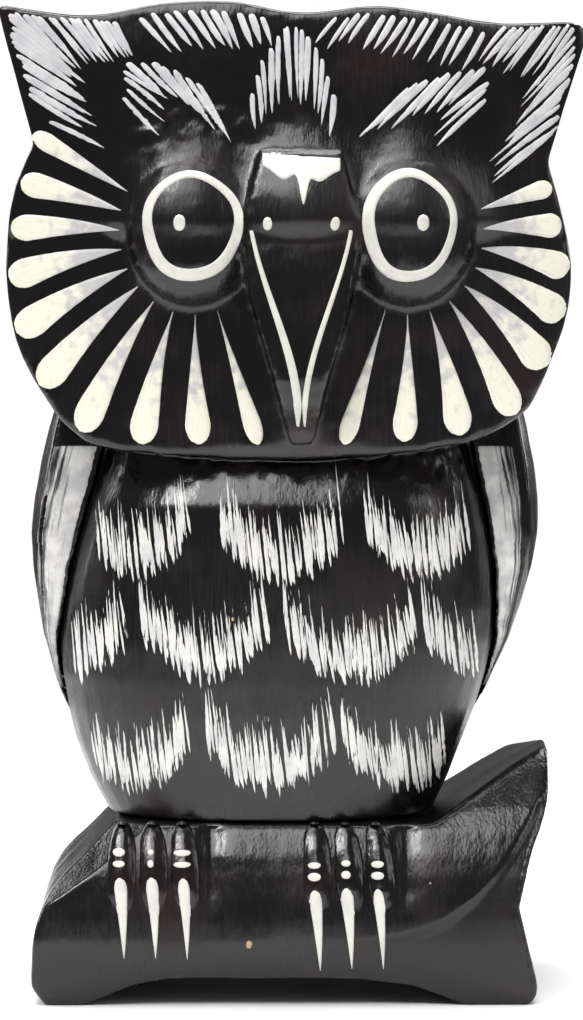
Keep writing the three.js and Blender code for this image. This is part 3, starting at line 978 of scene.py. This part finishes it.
# Each fan of forehead strokes starts from a row between two places on the head, in shares of half its width
# and of its height. "way" is the strokes' direction at the row's two ends, in degrees turned down from the
# right, so that 90 is straight down. "length" is their length there, and "bow" how far the row's middle
# rises.
foreheadPlan = {
    "leftEarSide": {
        "from": (-0.98, 0.98), "to": (-0.9, 0.82),
        "way": (38, 30), "length": (19, 15), "count": 12, "width": 1.8,
    },
    "leftEarLow": {
        "from": (-0.9, 0.8), "to": (-0.83, 0.74),
        "way": (32, 27), "length": (15, 12), "count": 2, "width": 1.2,
    },
    "leftEarTop": {
        "from": (-0.94, 0.98), "to": (-0.6, 0.96),
        "way": (45, 60), "length": (15, 8), "count": 14, "width": 1.4,
    },
    "leftCrown": {
        "from": (-0.52, 0.97), "to": (-0.1, 0.97),
        "way": (48, 72), "length": (10, 7), "count": 11, "width": 1.6, "bow": 1.5,
    },
    "leftBrow": {
        "from": (-0.56, 0.87), "to": (-0.32, 0.83),
        "way": (42, 60), "length": (11, 15), "count": 7, "width": 1.6, "bow": 1.5,
    },
    "leftBrowLow": {
        "from": (-0.57, 0.85), "to": (-0.57, 0.8),
        "way": (34, 46), "length": (11, 12), "count": 4, "width": 1.2,
    },
    "middle": {
        "from": (-0.14, 0.8), "to": (0.15, 0.8),
        "way": (84, 96), "length": (8, 8), "count": 14, "width": 1.4, "bow": 14,
    },
    "rightCrown": {
        "from": (0.16, 0.97), "to": (0.66, 0.94),
        "way": (128, 118), "length": (7, 10), "count": 14, "width": 1.4, "bow": 1.5,
    },
    "rightBrow": {
        "from": (0.4, 0.82), "to": (0.66, 0.86),
        "way": (138, 132), "length": (16, 11), "count": 8, "width": 1.5, "bow": 0.5,
    },
    "rightBrowLow": {
        "from": (0.67, 0.83), "to": (0.66, 0.79),
        "way": (140, 136), "length": (12, 15), "count": 3, "width": 1.2,
    },
    "rightEarTop": {
        "from": (0.74, 0.95), "to": (0.98, 0.96),
        "way": (130, 125), "length": (9, 16), "count": 10, "width": 1.4,
    },
    "rightEarSide": {
        "from": (0.98, 0.93), "to": (0.91, 0.72),
        "way": (132, 142), "length": (17, 18), "count": 12, "width": 1.4,
    },
}


foreheadGrid = (12, 3)
foreheadThickness = 0.09


def taperedShape(point):
    # blunt at its start, even along its middle, then a point
    return lambda t: max(min(0.6 + 3 * t, 1) * min((1 - t) * point, 1) ** 0.8, 0.04)


forehead = newPaint()
for plan in foreheadPlan.values():
    first, last = headPlace(*plan["from"]), headPlace(*plan["to"])
    for i in range(plan["count"]):
        share = i / (plan["count"] - 1)
        rise = plan.get("bow", 0) * 4 * share * (1 - share)
        shift = Vector((chance.uniform(-0.5, 0.5), rise + chance.uniform(-0.6, 0.2)))
        start = first.lerp(last, share) + shift
        way = math.radians(between(plan["way"], share) + chance.uniform(-3, 3))
        length = between(plan["length"], share) * chance.uniform(0.88, 1.1) + 0.55 * rise
        end = start + Vector((math.cos(way), -math.sin(way))) * length
        width = plan["width"] * chance.uniform(0.75, 1.25)
        spine = line(start, end, chance.uniform(-0.3, 0.3))
        shape = taperedShape(chance.uniform(1.6, 3))
        brushMark(forehead, spine, width, shape, *foreheadGrid, foreheadThickness)
closedPaint("forehead_strokes", forehead, greyPaint)

# Scallops of dry-brushed feathers, in rows across the breast
featherPlan = {
    "across": 3.15,  # scallops to the body's width
    "rowsLow": (0.58, 0.32, 0.06),  # lowest point of each row's scallops, as a share of the body's height
    "counts": (3, 4, 3),
    "shift": (0, 0, -0.08),  # of a row, in scallops
    "half": (0.4, 0.45, 0.43),  # half width of a scallop, in scallops
    "tall": 14.5,
    "topRise": 9,  # how much higher a scallop's upper edge is at its sides
    "lowRise": 8,
    "spacing": 0.52,  # of the strokes
    "edge": 2,  # kept free at the sides of the breast
    "grid": (9, 2),
    "thickness": 0.1,
    "rough": 0.12,  # how uneven a stroke's sides are
}
bodyShape = shapeOf([piece for piece in wood if piece.name == "carved_body"])


def onBreast(x, z):
    hit, bodyHit = frontOf(surface, x, z)[0], frontOf(bodyShape, x, z)[0]
    return hit is not None and bodyHit is not None and (hit - bodyHit).length < samePlace


feathers = newPaint()
scallop = (bodyHigh.x - bodyLow.x) / featherPlan["across"]
for row, count in enumerate(featherPlan["counts"]):
    rowLow = bodyLow.z + featherPlan["rowsLow"][row] * (bodyHigh.z - bodyLow.z)
    for place in range(count):
        offset = place - (count - 1) / 2 + featherPlan["shift"][row]
        middle = (bodyLow.x + bodyHigh.x) / 2 + offset * scallop + chance.uniform(-0.8, 0.8)
        half = featherPlan["half"][row] * scallop * chance.uniform(0.95, 1.08)
        sunk = chance.uniform(-1, 1.5)
        strokes = round(2 * half / featherPlan["spacing"])
        for i in range(strokes):
            across = 2 * (i + 0.5) / strokes - 1
            x = middle + across * half
            low = rowLow + sunk + featherPlan["lowRise"] * abs(across) ** 2.2 + chance.uniform(-1, 2.6)
            high = rowLow + sunk + featherPlan["tall"] + featherPlan["topRise"] * abs(across) ** 2.4
            high += chance.uniform(-3.5, 3.5)
            foot = (x + 0.6 + chance.uniform(-0.4, 0.7), low)
            spine = line((x - 0.8, high), foot, chance.uniform(-0.25, 0.25))
            outward = math.copysign(featherPlan["edge"], x - (bodyLow.x + bodyHigh.x) / 2)
            if not all(onBreast(x + outward, z) for z in (low, (low + high) / 2, min(high, headLow.z - 1))):
                continue
            fat = chance.uniform(0.55, 0.8)
            shape = lambda t: max(min(t / fat, ((1 - t) / (1 - fat)) ** 0.6), 0.03)
            width = chance.uniform(0.7, 1.7)
            grid, thickness = featherPlan["grid"], featherPlan["thickness"]
            brushMark(feathers, spine, width, shape, *grid, thickness, rough=featherPlan["rough"])
closedPaint("breast_feathers", feathers, featherPaint)


def wingSpan(side, z):
    # the inner and the outer end of what shows of a wing from the front
    sign = sides[side]
    outermost = max(abs(corner.x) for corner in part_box(f"{side}_wing")) / mm
    seen = []
    for i in range(100):
        x = sign * (outermost - 0.2 * i)
        hit, wingHit = frontOf(surface, x, z)[0], frontOf(wingShape[side], x, z)[0]
        if hit is not None and wingHit is not None and (hit - wingHit).length < samePlace:
            seen.append(x)
        elif seen:
            break
    return (seen[-1], seen[0]) if len(seen) > 6 else None


stripePlan = {
    "cover": {"left": 0.95, "right": 0.7},  # share of what shows of the wing that is painted
    "top": 111,
    "step": 0.5,
    "inset": 0.3,
    "across": 8,
    "mostSteps": 80,
    "thickness": 0.12,
}
stripes = newPaint()
for side, sign in sides.items():
    spans = []
    z = stripePlan["top"]
    while z > bodyLow.z:
        span = wingSpan(side, z)
        if span:
            spans.append((z, *span))
        elif spans:
            break
        z -= stripePlan["step"]
    cover = stripePlan["cover"][side]

    def placeAt(t, v):
        z, inner, outer = spans[min(int(t * (len(spans) - 1) + 0.5), len(spans) - 1)]
        inner += sign * stripePlan["inset"]
        outer -= sign * stripePlan["inset"]
        return Vector((inner + (outer - inner) * cover * (v + 1) / 2, z))

    steps = min(len(spans) - 1, stripePlan["mostSteps"])
    paintGrid(stripes, placeAt, steps, stripePlan["across"], stripePlan["thickness"])
closedPaint("wing_stripes", stripes, stripePaint)

clawPlan = {
    # "top" is the claws' upper end, as a share of the toe's height, and "lean" how far they lean
    "left": {"top": 0.4, "lean": 0.9},
    "right": {"top": 0.28, "lean": 1.2},
    "length": 16.5,
    "width": (2.3, 2.9),
    "marks": (0.13, 0.25),  # the two marks over each claw, as further shares of the toe's height
    "markWidth": (2.2, 3.9),
    "markHeight": (1.2, 1.8),
    "clawGrid": (22, 5),
    "markGrid": (10, 5),
    "thickness": 0.22,
}
claws = newPaint()
marks = newPaint()
for side in sides:
    plan = clawPlan[side]
    for toe in ("left", "middle", "right"):
        low, high = (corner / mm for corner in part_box(f"{side}_foot_{toe}_toe"))
        x = (low.x + high.x) / 2
        tall = high.z - low.z
        top = low.z + plan["top"] * tall + chance.uniform(-0.4, 0.8)
        start, end = (x - plan["lean"] / 2, top), (x + plan["lean"] / 2, top - clawPlan["length"])
        width = chance.uniform(*clawPlan["width"])
        grid, thickness = clawPlan["clawGrid"], clawPlan["thickness"]
        brushMark(claws, line(start, end, 0.2), width, dropShape(0.8), *grid, thickness)
        markHalf = chance.uniform(*clawPlan["markWidth"]) / 2 * (0.6 if toe == "middle" else 1)
        for share in clawPlan["marks"]:
            height = top + share * tall
            spine = line((x - 0.6 - markHalf, height), (x - 0.6 + markHalf, height + 0.1))
            width = chance.uniform(*clawPlan["markHeight"])
            brushMark(marks, spine, width, roundShape, *clawPlan["markGrid"], thickness)
closedPaint("claws", claws, ringPaint)
closedPaint("knuckle_marks", marks, ringPaint)

# two chips where the bare wood shows, on the breast and on the log
chips = newPaint()
chipThickness = 0.03
breastChip = Vector((between((bodyLow.x, bodyHigh.x), 0.4), (bodyLow.z + bodyHigh.z) / 2))
logChip = Vector((between((logLow.x, logHigh.x), 0.42), 0.25 * logHigh.z))
dab(chips, breastChip, (1, 0.9), 0, chipThickness)
dab(chips, logChip, (1.5, 1.7), 0.3, chipThickness)
closedPaint("chips", chips, dowelWood)
print("strokes painted")


# floor, light and camera

stagePlan = {
    "floorReach": 0.45,  # metres
    "floorFade": (0.28, 0.43),
    "worldSeen": 1.0,  # brightness of the background
    "worldLight": 0.16,  # and of the light that it gives
    "distance": 1.1,  # of the camera, in metres
    "elevation": 4.5,  # degrees
    "lens": 190.5,
    "aim": (0.0, 0.0, 0.0972),
}


def paleFloor():
    material, tree, shader = newMaterial("pale_floor", Roughness=0.6)
    place = addNode(tree, "ShaderNodeTexCoord").outputs["Object"]
    away = addNode(tree, "ShaderNodeVectorMath", {0: place}, operation="LENGTH").outputs["Value"]
    near, far = stagePlan["floorFade"]
    tree.links.new(ranged(tree, away, near, far, 1, 0), shader.inputs["Alpha"])
    mottle = noiseAt(tree, place, 60, 2)
    colour = mixed(tree, mottle, (0.86, 0.86, 0.86, 1), (0.90, 0.90, 0.90, 1))
    tree.links.new(colour, shader.inputs["Base Color"])
    return material


floorMesh = bmesh.new()
bmesh.ops.create_circle(floorMesh, cap_ends=True, segments=96, radius=stagePlan["floorReach"])
floorData = bpy.data.meshes.new("floor")
floorMesh.to_mesh(floorData)
floorMesh.free()
floorData.materials.append(paleFloor())
floor = bpy.data.objects.new("floor", floorData)
collection.objects.link(floor)

world = bpy.data.worlds.new("studio")
bpy.context.scene.world = world
world.use_nodes = True
sky = world.node_tree.nodes["Background"]
seen = world.node_tree.nodes.new("ShaderNodeLightPath").outputs["Is Camera Ray"]
strength = addNode(
    world.node_tree, "ShaderNodeMapRange",
    {"Value": seen, "To Min": stagePlan["worldLight"], "To Max": stagePlan["worldSeen"]},
)
sky.inputs["Color"].default_value = (1, 1, 1, 1)
world.node_tree.links.new(strength.outputs["Result"], sky.inputs["Strength"])

lightPlan = {
    # place in metres, size in metres, watts
    "key": ((-0.3, -0.7, 1.05), (0.8, 0.62), 10),
    "window": ((-0.6, -0.62, 0.9), (0.2, 0.3), 4),
    "fill": ((0.85, -0.5, 0.5), (0.25, 0.7), 1.8),
    "top": ((0.0, 0.15, 1.1), (0.9, 0.7), 18),
    "back_left": ((-0.8, 0.45, 0.5), (0.4, 0.7), 5),
    "back_right": ((0.8, 0.5, 0.5), (0.4, 0.7), 5),
}
target = Vector(stagePlan["aim"])
for name, (place, size, watts) in lightPlan.items():
    lamp = bpy.data.lights.new(name, "AREA")
    lamp.shape = "RECTANGLE"
    lamp.size, lamp.size_y = size
    lamp.energy = watts
    light = bpy.data.objects.new(name, lamp)
    light.location = place
    light.rotation_euler = (target - Vector(place)).to_track_quat("-Z", "Y").to_euler()
    collection.objects.link(light)

rise = math.radians(stagePlan["elevation"])
back = Vector((0, -math.cos(rise), math.sin(rise)))
cameraData = bpy.data.cameras.new("camera")
cameraData.lens = stagePlan["lens"]
cameraData.sensor_width = 36
camera = bpy.data.objects.new("camera", cameraData)
camera.location = target + back * stagePlan["distance"]
camera.rotation_euler = (-back).to_track_quat("-Z", "Y").to_euler()
collection.objects.link(camera)
bpy.context.scene.camera = camera
bpy.context.scene.view_settings.view_transform = "Standard"
bpy.context.scene.view_settings.look = "None"
print("stage set")
